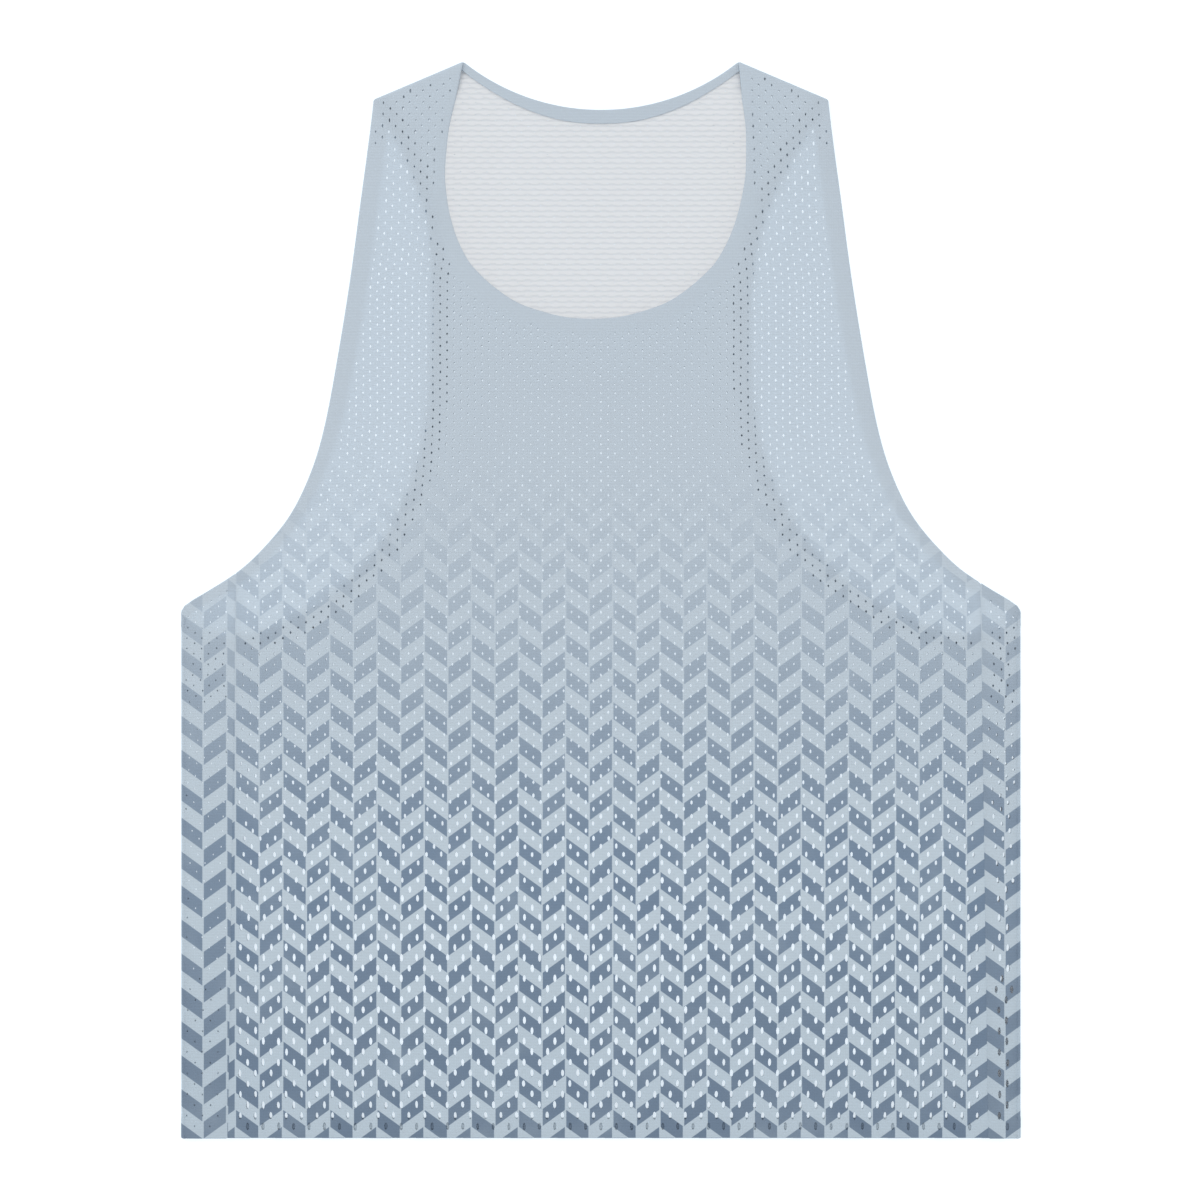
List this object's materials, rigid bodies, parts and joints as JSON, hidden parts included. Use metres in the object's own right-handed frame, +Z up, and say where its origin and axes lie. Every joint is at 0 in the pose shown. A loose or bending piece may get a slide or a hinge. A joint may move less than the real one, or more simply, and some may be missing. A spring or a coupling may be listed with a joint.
{
  "type": "running singlet",
  "caption": "Sleeveless running singlet of light perforated knit, laid flat with its front up, with a scooped neck and a racer-cut back.",
  "frame": {"origin": "the middle of the laid garment's outline, on the surface it lies on", "axes": "+Z up from the surface, out of the front; +Y from the hem to the shoulders; +X to the wearer's left"},
  "size_m": [0.5344, 0.6854, 0.005],
  "materials": {
    "front_cloth": "matt light blue perforated knit, printed in slate below the chest",
    "back_cloth": "the same perforated knit, printed outside and off-white inside",
    "band_cloth": "matt light blue knit without holes, bonded inside the edges"
  },
  "bodies": {
    "root": {"front_panel": "front_cloth", "back_panel": "back_cloth", "front_neck_band": "band_cloth", "back_neck_band": "band_cloth", "front_armhole_band_left": "band_cloth", "front_armhole_band_right": "band_cloth", "back_armhole_band_left": "band_cloth", "back_armhole_band_right": "band_cloth", "front_shoulder_allowance_left": "band_cloth", "front_shoulder_allowance_right": "band_cloth", "back_shoulder_allowance_left": "band_cloth", "back_shoulder_allowance_right": "band_cloth", "front_hem_band": "band_cloth", "back_hem_band": "band_cloth"}
  },
  "joints": []
}
